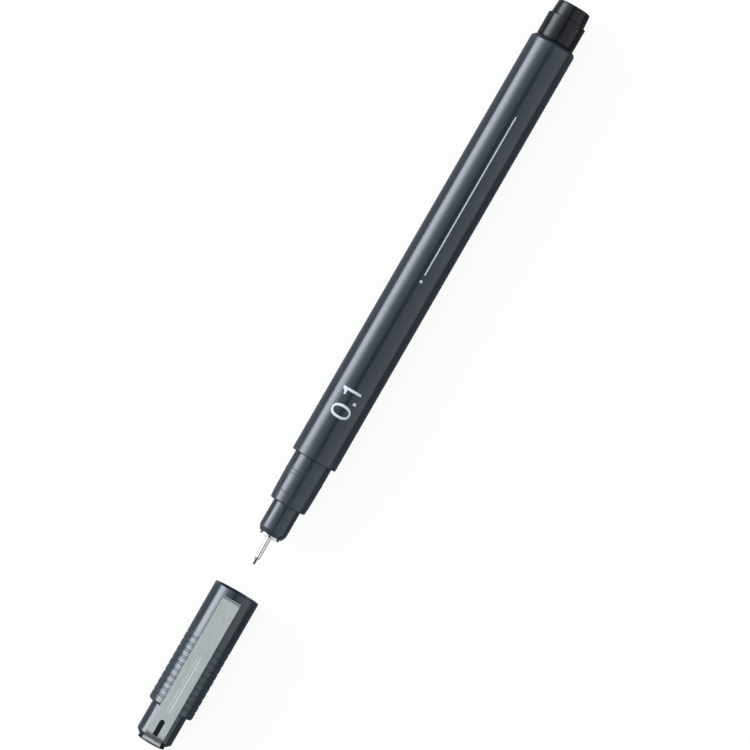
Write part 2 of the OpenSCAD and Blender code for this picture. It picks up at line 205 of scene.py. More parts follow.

# %% [markdown]
# ## The floor
#
# The pen lies on a plain pale surface. It is one large flat square with a matt white material, and
# the camera sees it lifted to white, with the pen's soft shadow left faintly in it. Mirror-like
# surfaces see it instead as a dim bluish glow, a painted reflection which keeps the pen's edges dark.
# That glow holds painted light and shade: it is brighter on the pen's left side, as if lit there,
# dimmer on its right side, as if in shade, and fades out beyond the cap's end.

# %% Floor
FLOOR_HALF = 3.0
WHITE_SHARE = 0.93
PAPER = 0.82
# Painted reflection of the floor: its glow to mirror-like surfaces, brighter on the pen's lit left side
# than on its shaded right side, blended over a few millimetres, and fading to a small share beyond the
# cap's end.
PAINTED_REFLECTION_LEFT = 0.33
PAINTED_REFLECTION_RIGHT = 0.11
PAINTED_REFLECTION_BLEND = 5 * MM
PAINTED_REFLECTION_END = -90 * MM
PAINTED_REFLECTION_FADE = 6 * MM
PAINTED_REFLECTION_BEYOND = 0.05
corner = np.array([[-1, -1, 0], [1, -1, 0], [1, 1, 0], [-1, 1, 0]]) * FLOOR_HALF
floor_mesh = bpy.data.meshes.new("floor")
floor_mesh.from_pydata(corner.tolist(), [], [(0, 1, 2, 3)])
floor = bpy.data.objects.new("floor", floor_mesh)
bpy.context.scene.collection.objects.link(floor)
paper = bpy.data.materials.new("floor_paper")
paper.use_nodes = True
tree = paper.node_tree
tree.nodes.clear()
rays = add_node(tree, "ShaderNodeLightPath")
matt = add_node(tree, "ShaderNodeBsdfDiffuse", Color=(PAPER, PAPER, PAPER, 1))
lifted = add_node(tree, "ShaderNodeEmission")
camera_ray = rays.outputs["Is Camera Ray"]
mirrored = maths(
    tree, "MAXIMUM", rays.outputs["Is Glossy Ray"], rays.outputs["Is Transmission Ray"]
)
place = add_node(tree, "ShaderNodeTexCoord")
floor_place = add_node(tree, "ShaderNodeSeparateXYZ")
tree.links.new(place.outputs["Object"], floor_place.inputs[0])
# Painted reflection: the floor's glow to mirror-like surfaces goes from its shaded right level to its
# lit left level across the pen, and fades beyond the cap's end.
side = maths(tree, "MULTIPLY", floor_place.outputs["Y"], 0.5 / PAINTED_REFLECTION_BLEND)
side = maths(tree, "ADD", side, 0.5)
painted_reflection_side = ramp(tree, side, [(0.0, PAINTED_REFLECTION_RIGHT), (1.0, PAINTED_REFLECTION_LEFT)])
in_fades = maths(tree, "MULTIPLY", floor_place.outputs["X"], 1 / PAINTED_REFLECTION_FADE)
past_end = maths(tree, "ADD", in_fades, -PAINTED_REFLECTION_END / PAINTED_REFLECTION_FADE)
end_share = ramp(tree, past_end, [(0.0, PAINTED_REFLECTION_BEYOND), (1.0, 1.0)])
painted_reflection = maths(tree, "MULTIPLY", painted_reflection_side, end_share)
# The camera sees the floor glow white; mirror-like surfaces see the painted reflection instead.
strength = maths(tree, "ADD", camera_ray, maths(tree, "MULTIPLY", mirrored, painted_reflection))
tree.links.new(strength, lifted.inputs["Strength"])
colour = ramp(tree, camera_ray, [(0.0, TINT), (1.0, (1.0, 1.0, 1.0))])
tree.links.new(colour, lifted.inputs["Color"])
seen = maths(tree, "MULTIPLY", maths(tree, "MAXIMUM", camera_ray, mirrored), WHITE_SHARE)
mix = add_node(tree, "ShaderNodeMixShader")
tree.links.new(seen, mix.inputs["Fac"])
tree.links.new(matt.outputs[0], mix.inputs[1])
tree.links.new(lifted.outputs[0], mix.inputs[2])
floor_out = add_node(tree, "ShaderNodeOutputMaterial")
tree.links.new(mix.outputs[0], floor_out.inputs["Surface"])
floor_mesh.materials.append(paper)
print("floor", 2 * FLOOR_HALF, "m square")

# %% [markdown]
# ## Moulded plastic
#
# The barrel, grip and nose are moulded in one slate-grey plastic with a satin gloss. The cap has a
# darker, bluer copy of it, painted shade for the weaker light at the cap, with a higher IOR that gives
# it a brighter highlight; the tail plug and the cap's button are black. Moulded plastic is never one
# flat colour: its tone and gloss drift a little over a few millimetres, and it carries a very fine
# grain from the mould. Its edges are made slightly paler in patches, a painted highlight along them,
# and a little rougher. The pieces carry an "edge" value for this, which is 1 on their rounded corners.
# Everything reads Object coordinates, so it stays put on the piece.

# %% Plastic material
def tone(colour, factor):
    """The colour made lighter or darker by a factor, as a node wants it."""
    return (*(min(1.0, c * factor) for c in colour[:3]), 1.0)


def object_noise(tree, scale, stretch=(1, 1, 1), detail=2.0, roughness=0.5):
    """Noise on Object coordinates. scale is in turns per metre, stretch acts on each direction."""
    place = add_node(tree, "ShaderNodeTexCoord")
    mapping = add_node(tree, "ShaderNodeMapping", Scale=stretch)
    noise = add_node(tree, "ShaderNodeTexNoise", Scale=scale, Detail=detail, Roughness=roughness)
    tree.links.new(place.outputs["Object"], mapping.inputs["Vector"])
    tree.links.new(mapping.outputs["Vector"], noise.inputs["Vector"])
    return noise.outputs["Fac"]


def start_material(name):
    """A new material, its node tree and its Principled shader."""
    material = bpy.data.materials.new(name)
    material.use_nodes = True
    return material, material.node_tree, material.node_tree.nodes["Principled BSDF"]


def add_bump(tree, shader, height, strength, distance):
    """Lets a height pattern tilt the surface. distance is the height of 1 in metres."""
    bump = add_node(tree, "ShaderNodeBump", Strength=strength, Distance=distance)
    tree.links.new(height, bump.inputs["Height"])
    tree.links.new(bump.outputs["Normal"], shader.inputs["Normal"])


def plastic(name, colour, gloss, grain=0.10, highlight_factor=1.5, ior=1.47):
    """Moulded plastic: drifting tone and gloss, fine grain, and edges paler by a factor, a painted
    highlight.
    """
    material, tree, shader = start_material(name)
    shader.inputs["IOR"].default_value = ior
    drift = object_noise(tree, 160, detail=3.0)
    body = ramp(tree, drift, [(0.3, tone(colour, 0.94)[:3]), (0.7, tone(colour, 1.06)[:3])])
    # Painted highlight: rounded edges are mixed towards a paler tone in patches; the same edge value
    # also makes them a little rougher.
    edge = add_node(tree, "ShaderNodeAttribute")
    edge.attribute_name = "edge"
    painted_edge_highlight = add_node(tree, "ShaderNodeMix")
    painted_edge_highlight.data_type = "RGBA"
    highlight_mask = maths(tree, "MULTIPLY", edge.outputs["Fac"], object_noise(tree, 900, detail=3.0))
    tree.links.new(highlight_mask, painted_edge_highlight.inputs["Factor"])
    tree.links.new(body, painted_edge_highlight.inputs["A"])
    painted_edge_highlight.inputs["B"].default_value = tone(colour, highlight_factor)
    tree.links.new(painted_edge_highlight.outputs["Result"], shader.inputs["Base Color"])
    smear = object_noise(tree, 420, stretch=(0.35, 1, 1), detail=4.0)
    spread = ramp(tree, smear, [(0.25, gloss * 0.85), (0.75, gloss * 1.2)])
    rough = maths(tree, "ADD", spread, maths(tree, "MULTIPLY", edge.outputs["Fac"], 0.06))
    tree.links.new(rough, shader.inputs["Roughness"])
    add_bump(tree, shader, object_noise(tree, 5200, detail=2.0), grain, 0.004 * MM)
    return material


SLATE = (0.0172, 0.0242, 0.0312)
# The cap's copy of the slate plastic is darker and bluer, painted shade for the weaker light at the cap,
# and its higher IOR gives it a brighter highlight.
CAP_SHADED_SLATE = (0.0115, 0.0195, 0.0262)
JET = (0.0075, 0.0080, 0.0095)
slate = plastic("slate_moulded", SLATE, 0.17)
cap_shaded_slate = plastic("slate_moulded_cap_shaded", CAP_SHADED_SLATE, 0.17, ior=1.53)
jet = plastic("black_moulded", JET, 0.12, ior=1.31)
print("plastics:", slate.name, cap_shaded_slate.name, jet.name)

# %% [markdown]
# ## Turned pieces
#
# Nearly everything on a pen is round, so one recipe makes most of it: draw the outline of half the
# section, round its corners, and carry it round the axis. Sharp corners look false because real
# edges always catch a little light, so each corner becomes a short arc. The point at the place p
# along the axis and the radius r becomes (p, r sin a, r cos a) for every angle a round the axis.

# %% Outlines with rounded corners
def soften(corners, radii, closed=True, steps=7):
    """Replaces each corner of an outline by an arc.

    With half the corner's angle h, the arc of radius r touches both sides at r / tan(h) from the
    corner and is centred r / sin(h) away on the line that halves it. Its points are spread evenly
    between the two touching points.
    """
    points = np.asarray(corners, float)
    wanted = np.broadcast_to(np.asarray(radii, float), (len(points),)).copy()
    if not closed:
        wanted[[0, -1]] = 0
    before = np.roll(points, 1, 0) - points
    after = np.roll(points, -1, 0) - points
    before_len = np.linalg.norm(before, axis=1)
    after_len = np.linalg.norm(after, axis=1)
    before /= before_len[:, None]
    after /= after_len[:, None]
    half = 0.5 * np.arccos(np.clip((before * after).sum(1), -0.999999, 0.999999))
    reach = np.minimum(wanted / np.tan(half), 0.49 * np.minimum(before_len, after_len))
    radius = reach * np.tan(half)
    middle = before + after
    middle /= np.linalg.norm(middle, axis=1)[:, None]
    centre = points + middle * (radius / np.sin(half))[:, None]
    start = points + before * reach[:, None] - centre
    end = points + after * reach[:, None] - centre
    sweep = np.maximum(np.pi - 2 * half, 1e-4)[:, None]
    share = np.linspace(0, 1, steps)[None, :]
    first = np.sin((1 - share) * sweep) / np.sin(sweep)
    second = np.sin(share * sweep) / np.sin(sweep)
    arc = centre[:, None] + first[..., None] * start[:, None] + second[..., None] * end[:, None]
    on_arc = np.repeat(radius > 0, steps).astype(float)
    flat = arc.reshape(-1, 2)
    keep = np.linalg.norm(flat - np.roll(flat, 1, 0), axis=1) > 1e-5
    return flat[keep], on_arc[keep]


def divide(points, marks, longest, closed=True):
    """Splits each straight stretch into equal parts of at most longest. New points are unmarked."""
    last = len(points) if closed else len(points) - 1
    step = (np.roll(points, -1, 0) - points)[:last]
    count = np.maximum(np.ceil(np.linalg.norm(step, axis=1) / longest).astype(int), 1)
    index = np.repeat(np.arange(last), count)
    share = (np.arange(count.sum()) - np.repeat(np.cumsum(count) - count, count)) / count[index]
    out = points[index] + step[index] * share[:, None]
    out_marks = np.where(share == 0, marks[index], 0.0)
    if not closed:
        out = np.vstack([out, points[-1:]])
        out_marks = np.append(out_marks, marks[-1])
    return out, out_marks


print("outline helpers ready")

# %% [markdown]
# The surface then needs three more things: a single vertex where an outline ends on the axis, faces
# that look outwards, and vertex normals. The normals are the sum of the neighbouring faces' normals,
# each as long as its face is large, so a broad flat stays flat right up to its rounded edge.

# %% Meshes from arrays
def make_piece(name, points, faces, edge=None, normals=True):
    """Makes an object of points in millimetres and faces, with smooth shading and an edge value."""
    mesh = bpy.data.meshes.new(name)
    mesh.from_pydata((points * MM).tolist(), [], faces)
    mesh.polygons.foreach_set("use_smooth", np.ones(len(mesh.polygons), bool))
    if edge is not None:
        layer = mesh.attributes.new("edge", "FLOAT", "POINT")
        layer.data.foreach_set("value", edge.astype(np.float32))
    mesh.update()
    if normals:
        mesh.normals_split_custom_set_from_vertices(broad_normals(points, faces).tolist())
    piece = bpy.data.objects.new(name, mesh)
    bpy.context.scene.collection.objects.link(piece)
    return piece


def broad_normals(points, faces):
    """Each vertex's normal: the sum of its faces' normals, weighted by their areas."""
    total = np.zeros_like(points)
    for size in (3, 4):
        group = np.array([f for f in faces if len(f) == size], int).reshape(-1, size)
        corner = points[group]
        opposite = corner[:, 1 if size == 4 else 0]
        facing = np.cross(corner[:, 2] - corner[:, 0], corner[:, -1] - opposite)
        for column in range(size):
            np.add.at(total, group[:, column], facing)
    return total / np.maximum(np.linalg.norm(total, axis=1), 1e-12)[:, None]


def turned(name, outline, radii, closed=True, around=192, longest=3.0, steps=7):
    """Carries an outline of (place, radius) corners round the axis: (p, r sin a, axis + r cos a).

    An open outline starts and ends on the axis.
    """
    points, marks = soften(outline, radii, closed, steps)
    nxt = np.roll(points, -1, 0)
    if (points[:, 0] * nxt[:, 1] - nxt[:, 0] * points[:, 1]).sum() > 0:
        points, marks = points[::-1], marks[::-1]
    points, marks = divide(points, marks, longest, closed)
    ring = points if closed else points[1:-1]
    place = np.repeat(ring[:, :1], around, axis=1)
    angle = np.broadcast_to(np.arange(around) * 2 * np.pi / around, place.shape)
    radius = np.repeat(ring[:, 1:], around, axis=1)
    grid = np.stack([place, radius * np.sin(angle), AXIS_Z + radius * np.cos(angle)], -1)
    index = np.arange(grid.shape[0] * around).reshape(-1, around)
    side = np.roll(index, -1, 1)
    if closed:
        low, low_side = index, side
        high, high_side = np.roll(index, -1, 0), np.roll(side, -1, 0)
    else:
        low, low_side, high, high_side = index[:-1], side[:-1], index[1:], side[1:]
    faces = np.stack([low, high, high_side, low_side], -1).reshape(-1, 4).tolist()
    vertices = grid.reshape(-1, 3)
    edge = np.repeat(marks if closed else marks[1:-1], around)
    if not closed:
        poles = np.array([[points[0, 0], 0, AXIS_Z], [points[-1, 0], 0, AXIS_Z]])
        first, last = len(vertices), len(vertices) + 1
        faces += np.stack([np.full(around, first), index[0], side[0]], -1).tolist()
        faces += np.stack([index[-1], np.full(around, last), side[-1]], -1).tolist()
        vertices = np.vstack([vertices, poles])
        edge = np.append(edge, [0, 0])
    return make_piece(name, vertices, faces, edge)


def dress(piece, body, slot, material, *nodes):
    """Gives a piece its material and body, and hides the CAD nodes that it stands for; slot is not used.
    """
    piece.data.materials.append(material)
    if nodes:
        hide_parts(*nodes)
    if body:
        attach(piece, body)
    print(f"{piece.name}: {len(piece.data.vertices)} vertices, {len(piece.data.polygons)} faces")


print("mesh helpers ready")

# %% [markdown]
# ## Barrel
#
# The barrel is a plain tube with a crisp front edge and a short cone at its rear edge. It is the
# first turned piece. Its outline runs round the wall: out along the outside, back along the bore.
# Pressed pieces have the fit's clearance all round, which is used again for each of them below.

# %% Barrel
WALL = 0.95
PRESS_FIT = 0.03
REAR_CONE = 0.35
REAR_DROP = 0.2
BORE_R = BARREL_R - WALL
front, rear = BARREL_X, barrel_high[0]
barrel = turned(
    "barrel_tube",
    [
        (front, BORE_R),
        (front, BARREL_R),
        (rear - REAR_CONE, BARREL_R),
        (rear, BARREL_R - REAR_DROP),
        (rear, BORE_R),
    ],
    [0.05, 0.22, 0.15, 0.06, 0.03],
    around=256,
    steps=9,
)
dress(barrel, "pen", "slate_plastic", slate, "barrel")

# %% [markdown]
# ## Grip section
#
# The grip is a narrower sleeve that is pressed into the barrel. It is almost a cylinder: a short
# steeper lead at its front ends in a faint line, and further back a very low ring, a few hundredths
# of a millimetre high, snaps into the cap. Such small steps only show in the reflections, so they
# need to be real shape and not a picture.

# %% Grip section
GRIP_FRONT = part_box("grip_section")[0][0] / MM
GRIP_R = BARREL_R - 0.78
TIP_R = GRIP_R - 0.21
LEAD_X = GRIP_FRONT + 2.3
LEAD_R = GRIP_R - 0.06
LINE_HALF = 0.07
LINE_DEPTH = 0.032
RING_X = BARREL_X - 3.4
RING_W = 0.8
RING_H = 0.04
RING_RISE = 0.08
RING_LINE = 0.06
RING_DIP = 0.02
SPIGOT_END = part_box("grip_section")[1][0] / MM
NOSE_HOLE = 2.955
grip = turned(
    "grip_sleeve",
    [
        (GRIP_FRONT, NOSE_HOLE),
        (GRIP_FRONT, TIP_R),
        (LEAD_X - LINE_HALF, LEAD_R),
        (LEAD_X, LEAD_R - LINE_DEPTH),
        (LEAD_X + LINE_HALF, LEAD_R),
        (RING_X - RING_W - RING_LINE, GRIP_R),
        (RING_X - RING_W, GRIP_R - RING_DIP),
        (RING_X - RING_W + RING_RISE, GRIP_R + RING_H),
        (RING_X - RING_RISE, GRIP_R + RING_H),
        (RING_X, GRIP_R - RING_DIP),
        (RING_X + RING_LINE, GRIP_R),
        (BARREL_X, GRIP_R),
        (BARREL_X, BORE_R - PRESS_FIT),
        (SPIGOT_END, BORE_R - PRESS_FIT),
        (SPIGOT_END, NOSE_HOLE),
    ],
    [0.08, 0.36, 0.03, 0.015, 0.03, 0.02, 0.015, 0.02, 0.02, 0.015, 0.02, 0, 0, 0.2, 0.1],
    around=224,
)
dress(grip, "pen", "slate_plastic", slate, "grip_section")

# %% [markdown]
# ## Nose
#
# The nib holder's nose is the smallest plastic step, with a long chamfer at its front. Behind it a
# shank and a thin tube run back to the ink store, out of sight.

# %% Nose
nose_low, nose_high = [np.array(corner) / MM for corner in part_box("nib_holder")]
NOSE_FRONT = nose_low[0]
NOSE_R = (nose_high[1] - nose_low[1]) / 2
CHAMFER_DEPTH = 0.47
CHAMFER_LEN = 1.0
SHANK_END = GRIP_FRONT + 6.4
TAIL_TUBE_R = 1.49
HUB_HOLE = 1.23
HUB_DEPTH = 3.0
WICK_HOLE = HUB_HOLE - 0.4
nose = turned(
    "nose_holder",
    [
        (NOSE_FRONT, HUB_HOLE),
        (NOSE_FRONT, NOSE_R - CHAMFER_DEPTH),
        (NOSE_FRONT + CHAMFER_LEN, NOSE_R),
        (SHANK_END, NOSE_R),
        (SHANK_END, TAIL_TUBE_R),
        (nose_high[0], TAIL_TUBE_R),
        (nose_high[0], WICK_HOLE),
        (NOSE_FRONT + HUB_DEPTH, WICK_HOLE),
        (NOSE_FRONT + HUB_DEPTH, HUB_HOLE),
    ],
    [0.04, 0.12, 0.18, 0.1, 0.1, 0.1, 0.1, 0, 0],
    around=192,
)
dress(nose, "pen", "slate_plastic", slate, "nib_holder")

# %% [markdown]
# ## Metals
#
# The tip is bright drawn steel: mirror-like, with very fine marks that run round it where it was
# polished in the lathe. The clip is stamped from satin sheet: its fine grain runs along the strip
# and spreads the reflection, so its flat looks an even pale grey from every side. In both the marks
# are noise that is squeezed in one direction, and they tilt the surface and change its gloss.

# %% Steel materials
def steel(name, colour, gloss, stretch, marks, drift, grain):
    """Steel with noise marks: stretch is small along them, marks their fineness, grain their relief.

    drift is the share by which the tone wanders.
    """
    material, tree, shader = start_material(name)
    shader.inputs["Metallic"].default_value = 1.0
    cloud = object_noise(tree, 240, detail=3.0)
    body = ramp(tree, cloud, [(0.3, tone(colour, 1 - drift)[:3]), (0.7, tone(colour, 1 + drift)[:3])])
    tree.links.new(body, shader.inputs["Base Color"])
    lines = object_noise(tree, marks, stretch=stretch, detail=3.0, roughness=0.65)
    spread = ramp(tree, lines, [(0.25, gloss * 0.92), (0.75, gloss * 1.08)])
    tree.links.new(spread, shader.inputs["Roughness"])
    add_bump(tree, shader, lines, grain, 0.003 * MM)
    return material


clip_steel = steel("clip_satin_steel", (0.79, 0.815, 0.775), 0.38, (0.06, 1, 1), 5200, 0.015, 0.04)
tip_steel = steel("tip_bright_steel", (0.60, 0.60, 0.57), 0.10, (1, 0.08, 0.08), 9000, 0.02, 0.05)
print("metals:", clip_steel.name, tip_steel.name)

# %% [markdown]
# ## Collar and needle tube
#
# The collar is a small steel disc on the front of the nose, and the needle tube stands out of it.
# The tube is just over a millimetre thick, and tapers at its mouth, which holds the fibre.

# %% Collar and needle
collar_low, collar_high = [np.array(corner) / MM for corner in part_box("nib_collar")]
COLLAR_R = (collar_high[1] - collar_low[1]) / 2
TUBE_R = 0.55
TUBE_BORE = 0.23
TUBE_TAPER = 0.55
HUB_R = 1.2
COLLAR_HOLE = TUBE_R + 0.03
COLLAR_SLOPE = 0.15
collar = turned(
    "collar_disc",
    [
        (collar_low[0], COLLAR_HOLE),
        (collar_low[0], TUBE_R + 0.3),
        (collar_low[0] + COLLAR_SLOPE, COLLAR_R),
        (NOSE_FRONT, COLLAR_R),
        (NOSE_FRONT, HUB_R),
        (collar_high[0], HUB_R),
        (collar_high[0], COLLAR_HOLE),
    ],
    [0.02, 0.1, 0.1, 0.08, 0, 0.1, 0.05],
    around=128,
)
dress(collar, "pen", "nib_steel", tip_steel, "nib_collar")
tube_low, tube_high = [np.array(corner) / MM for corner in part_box("needle_tube")]
TUBE_FRONT = tube_low[0] - 0.12
needle = turned(
    "needle_sleeve",
    [
        (TUBE_FRONT, TUBE_BORE),
        (TUBE_FRONT, TUBE_BORE + 0.05),
        (TUBE_FRONT + TUBE_TAPER, TUBE_R),
        (tube_high[0], TUBE_R),
        (tube_high[0], TUBE_BORE),
    ],
    [0.01, 0.03, 0.15, 0.03, 0.02],
    around=96,
    longest=1.0,
)
dress(needle, "pen", "nib_steel", tip_steel, "needle_tube")

# %% [markdown]
# ## Fibre point
#
# The point that writes is a thin rod of bonded fibres soaked with ink, ground to a blunt cone. Its
# fibres run lengthwise, so its material is noise stretched along the pen, almost without gloss.

# %% Fibre materials and the point
def fibres(name, dark, light, fineness, grain, gloss=0.85):
    """Bonded fibres that run along X: noise squeezed across, for colour, gloss and relief alike."""
    material, tree, shader = start_material(name)
    strands = object_noise(tree, fineness, stretch=(0.05, 1, 1), detail=4.0, roughness=0.7)
    body = ramp(tree, strands, [(0.3, dark), (0.7, light)])
    tree.links.new(body, shader.inputs["Base Color"])
    spread = ramp(tree, strands, [(0.2, gloss - 0.15), (0.8, gloss + 0.1)])
    tree.links.new(spread, shader.inputs["Roughness"])
    add_bump(tree, shader, strands, grain, 0.02 * MM)
    return material


inked_point = fibres("inked_point", (0.012, 0.013, 0.016), (0.05, 0.052, 0.058), 16000, 0.5)
inked_rod = fibres("inked_rod", (0.01, 0.01, 0.013), (0.04, 0.04, 0.045), 6000, 0.7)
wick_rod = fibres("wick_rod", (0.03, 0.03, 0.035), (0.11, 0.11, 0.12), 9000, 0.6)
nib_low, nib_high = [np.array(corner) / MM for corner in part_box("fibre_nib")]
NIB_R = 0.226
TIP_X = nib_low[0] - 0.1
point = turned(
    "fibre_point",
    [
        (TIP_X, 0),
        (TIP_X, 0.66 * NIB_R),
        (TIP_X + 0.45 * NIB_R, 0.95 * NIB_R),
        (TIP_X + 0.7, NIB_R),
        (nib_high[0], NIB_R),
        (nib_high[0], 0),
    ],
    [0, 0.06, 0.1, 0.1, 0.02, 0],
    closed=False,
    around=64,
    longest=0.5,
)
dress(point, "pen", "nib_fibre", inked_point, "fibre_nib")

# %% [markdown]
# ## Tail plug
#
# The black plug closes the barrel. A conical flange stands against the barrel's rear edge, and a
# narrow gap parts it from a wide step. Then come a fine groove and an end with a rounded edge,
# whose flat face has a shallow hollow from the mould.

# %% Tail plug
plug_low, plug_high = [np.array(corner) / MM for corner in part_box("tail_plug")]
TAIL_X = plug_high[0]
FLANGE_X = rear + 0.03
PLUG_FLANGE_R = BARREL_R - 0.23
FLANGE_END = rear + 0.5
STEP_X = FLANGE_END + 0.15
GROOVE_X = STEP_X + 4.85
END_X = GROOVE_X + 0.25
PLUG_R = BARREL_R - 0.76
NECK_R = PLUG_R - 0.3
END_R = PLUG_R - 0.42
PLUG_GROOVE_R = END_R - 0.3
END_TAPER = 0.2
HOLLOW_R = 0.75
HOLLOW_DEPTH = 0.06
plug = turned(
    "plug_body",
    [
        (plug_low[0], 0),
        (plug_low[0], BORE_R - PRESS_FIT),
        (FLANGE_X, BORE_R - PRESS_FIT),
        (FLANGE_X, PLUG_FLANGE_R),
        (FLANGE_END, PLUG_R - 0.03),
        (FLANGE_END, NECK_R),
        (STEP_X, NECK_R),
        (STEP_X, PLUG_R),
        (GROOVE_X, PLUG_R),
        (GROOVE_X, PLUG_GROOVE_R),
        (END_X, PLUG_GROOVE_R),
        (END_X, END_R),
        (TAIL_X, END_R - END_TAPER),
        (TAIL_X, HOLLOW_R),
        (TAIL_X - HOLLOW_DEPTH, HOLLOW_R - 0.1),
        (TAIL_X - HOLLOW_DEPTH, 0),
    ],
    [0, 0.3, 0, 0.04, 0.04, 0.01, 0.01, 0.07, 0.12, 0.02, 0.02, 0.015, 0.38, 0.05, 0.05, 0],
    closed=False,
    around=192,
)
dress(plug, "pen", "black_plastic", jet, "tail_plug")

# %% [markdown]
# ## Cap
#
# The cap is a thin-walled cup. Ten fine grooves near its closed end give the fingers a hold. They
# are less than a tenth of a millimetre deep, with rounded lips, and a narrower crown stands on the
# shoulder. The grooves' corners are put into the outline between the shoulder and the mouth.

# %% Cap
CAP_BORE = BARREL_R - 0.635
SHOULDER = MOUTH_X - 26.5
CROWN_R = BARREL_R - 0.99
CROWN_END = cap_low[0]
CROWN_BORE = 2.40
CROWN_CHAMFER = 0.67
CROWN_FLOOR = SHOULDER - 0.6
CAP_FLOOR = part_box("inner_cap")[0][0] / MM
GROOVES = 10
FIRST_GROOVE = SHOULDER + 1.82
GROOVE_PITCH = 1.458
GROOVE_W = 0.51
GROOVE_DEPTH = 0.085
GROOVE_WALL = 0.13
groove_x = FIRST_GROOVE + GROOVE_PITCH * np.arange(GROOVES)
lip, floor_half = GROOVE_W / 2, GROOVE_W / 2 - GROOVE_WALL
groove = np.array([
    [-lip, 0],
    [-floor_half, -GROOVE_DEPTH],
    [floor_half, -GROOVE_DEPTH],
    [lip, 0],
])
grooves = (np.stack([groove_x, np.full(GROOVES, BARREL_R)], -1)[:, None] + groove).reshape(-1, 2)
crown_part = [
    (CROWN_FLOOR, 0),
    (CROWN_FLOOR, CROWN_BORE),
    (CROWN_END, CROWN_BORE),
    (CROWN_END, CROWN_R - CROWN_CHAMFER),
    (CROWN_END + CROWN_CHAMFER, CROWN_R),
    (SHOULDER, CROWN_R),
    (SHOULDER, BARREL_R),
]
mouth_part = [(MOUTH_X, BARREL_R), (MOUTH_X, CAP_BORE), (CAP_FLOOR, CAP_BORE), (CAP_FLOOR, 0)]
cap_outline = np.vstack([crown_part, grooves, mouth_part])
crown_radii = [0, 0.1, 0.05, 0.15, 0.2, 0.04, 0.65]
cap_radii = [*crown_radii, *[0.03, 0.02, 0.02, 0.03] * GROOVES, 0.12, 0.1, 0.1, 0]
cap = turned("cap_body", cap_outline, cap_radii, closed=False, around=256, steps=4)
# The cap wears the darker copy of the slate plastic, which is painted shade.
dress(cap, "cap", "slate_plastic", cap_shaded_slate, "cap_shell")

# %% [markdown]
# ## Inner cap
#
# Deep in the cap a soft milky cup closes round the nose, so the ink in the point can't dry out. It
# lets a little light in under its surface.

# %% Inner cap
milk, tree, shader = start_material("milky_soft_plastic")
cloud = object_noise(tree, 300, detail=3.0)
body = ramp(tree, cloud, [(0.3, (0.70, 0.70, 0.67)), (0.7, (0.77, 0.77, 0.74))])
tree.links.new(body, shader.inputs["Base Color"])
spread = ramp(tree, object_noise(tree, 900), [(0.2, 0.42), (0.8, 0.55)])
tree.links.new(spread, shader.inputs["Roughness"])
shader.inputs["Subsurface Weight"].default_value = 0.15
shader.inputs["Subsurface Scale"].default_value = 0.4 * MM
add_bump(tree, shader, object_noise(tree, 4200), 0.15, 0.004 * MM)
inner_low, inner_high = [np.array(corner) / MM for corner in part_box("inner_cap")]
INNER_BORE = 2.975
INNER_R = INNER_BORE + 0.75
LINER_FLANGE_R = CAP_BORE - PRESS_FIT
LINER_FLANGE_END = inner_low[0] + 4.0
SEAT_X = MOUTH_X - 17.6
SEAT_END = MOUTH_X - 18.975
TIP_ROOM_R = 1.6
TIP_ROOM_END = MOUTH_X - 24.75
liner = turned(
    "cap_liner",
    [
        (inner_low[0], 0),
        (inner_low[0], LINER_FLANGE_R),
        (LINER_FLANGE_END, LINER_FLANGE_R),
        (LINER_FLANGE_END, INNER_R),
        (inner_high[0], INNER_R),
        (inner_high[0], INNER_BORE),
        (SEAT_X, INNER_BORE),
        (SEAT_END, TIP_ROOM_R),
        (TIP_ROOM_END, TIP_ROOM_R),
        (TIP_ROOM_END, 0),
    ],
    [0, 0.1, 0.2, 0.1, 0.15, 0.15, 0.2, 0.2, 0.3, 0],
    closed=False,
    around=128,
)
dress(liner, "cap", "milk_plastic", milk, "inner_cap")

# %% [markdown]
# ## Crown button
#
# A black button is pressed into the crown and holds the clip's folded tab. The CAD button has a
# pocket for the tab. This one is left whole and only has rings of points where the pocket would
# begin and end, so the tab runs into its head, where it can't be seen.

# %% Crown button
button_low, button_high = [np.array(corner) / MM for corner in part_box("crown_button")]
BUTTON_R = 2.875
STEM_R = CROWN_BORE - PRESS_FIT
POCKET_OUT = CROWN_END - 0.5
POCKET_IN = CROWN_END + 0.2
button = turned(
    "crown_disc",
    [
        (button_low[0] + 0.05, 0),
        (button_low[0] + 0.05, 0.55),
        (button_low[0], 0.65),
        (button_low[0], BUTTON_R),
        (POCKET_OUT, BUTTON_R),
        (POCKET_OUT + 0.001, BUTTON_R),
        (CROWN_END, BUTTON_R),
        (CROWN_END, STEM_R),
        (POCKET_IN - 0.001, STEM_R),
        (POCKET_IN, STEM_R),
        (button_high[0], STEM_R),
        (button_high[0], 0),
    ],
    [0, 0.04, 0.04, 0.22, 0, 0, 0.03, 0.02, 0, 0, 0.2, 0],
    closed=False,
    around=256,
)
button.data.set_sharp_from_angle(angle=np.radians(40))
dress(button, "cap", "black_plastic", jet, "crown_button")

# %% [markdown]
# ## Pocket clip
#
# The clip is one strip of steel, 0.35 mm thick. Seen from the side it follows a path: up from its
# lip at the cap's mouth, along the cap, down a slope at the crown, and down again as a tab inside
# the button. The path's bends are arcs, made by the same helper as the outlines' corners.
# The strip's middle surface takes two numbers, the length along the path and the place across it.
# Solidify then gives it its thickness and Bevel rounds the stamped edges.

# %% Path of the clip
CLIP_T = 0.35
ROOT_W = 3.95
FREE_W = 3.8
FLAT_Z = 5.305
LEDGE_Z = 4.12
TAB_U = 33.605
